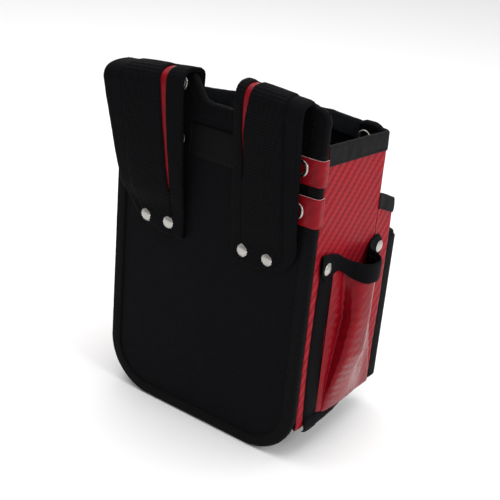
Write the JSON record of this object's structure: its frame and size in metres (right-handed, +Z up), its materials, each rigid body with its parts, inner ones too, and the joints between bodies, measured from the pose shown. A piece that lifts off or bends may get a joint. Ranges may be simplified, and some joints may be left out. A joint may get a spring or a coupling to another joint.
{
  "type": "electrician tool pouch",
  "caption": "Waist pouch for hand tools: stiff back panel, riveted belt loops, open bag of carbon-look PVC, stacked front pockets and bellows side pockets.",
  "frame": {"origin": "middle of the belt path, on the back panel's outer face, between the two belt loops", "axes": "+X to the wearer's left when the pouch is worn in front of the hip, +Y towards the wearer's body, +Z up"},
  "size_m": [0.247, 0.1741, 0.3087],
  "materials": {
    "nylon": "black ballistic nylon, matt plain weave",
    "webbing": "ribbed polypropylene webbing",
    "edge_tape": "woven binding tape, stitched",
    "carbon_pvc": "red PVC sheet with an embossed twill pattern, semi-gloss",
    "board": "polyethylene board",
    "label": "rubbery plain patch",
    "nickel": "nickel plated, polished",
    "steel": "plated steel"
  },
  "bodies": {
    "root": {"stiffener_board": "board", "back_panel_outer": "nylon", "back_panel_inner": "nylon", "panel_binding": "edge_tape", "panel_top_binding": "edge_tape", "label_patch": "label", "upper_edge_tabs": "carbon_pvc", "lower_edge_tabs": "carbon_pvc", "eyelet_barrels": "nickel", "eyelet_washers": "nickel", "near_loop_lining": "carbon_pvc", "near_loop_webbing": "webbing", "near_loop_inner_strip": "webbing", "near_loop_border": "edge_tape", "far_loop_lining": "carbon_pvc", "far_loop_webbing": "webbing", "far_loop_inner_strip": "webbing", "far_loop_border": "edge_tape", "loop_rivet_caps": "nickel", "loop_rivet_posts": "steel", "loop_rivet_washers": "steel", "near_side_wall": "carbon_pvc", "far_side_wall": "carbon_pvc", "front_wall": "carbon_pvc", "bottom_panel": "nylon", "mouth_binding": "edge_tape", "hanger_strap": "webbing", "hanger_eyelet": "nickel", "second_pocket_front": "carbon_pvc", "near_second_gusset": "carbon_pvc", "far_second_gusset": "carbon_pvc", "second_pocket_bottom": "nylon", "second_pocket_binding": "edge_tape", "third_pocket_front": "nylon", "third_pocket_bottom": "nylon", "third_pocket_binding": "webbing", "third_pocket_dividers": "webbing", "near_side_pocket": "carbon_pvc", "near_pocket_band": "edge_tape", "near_pocket_strip": "edge_tape", "far_side_pocket": "carbon_pvc", "far_pocket_band": "edge_tape", "far_pocket_strip": "edge_tape", "pocket_rivet_caps": "nickel", "pocket_rivet_posts": "steel", "pocket_rivet_washers": "steel"}
  },
  "joints": []
}
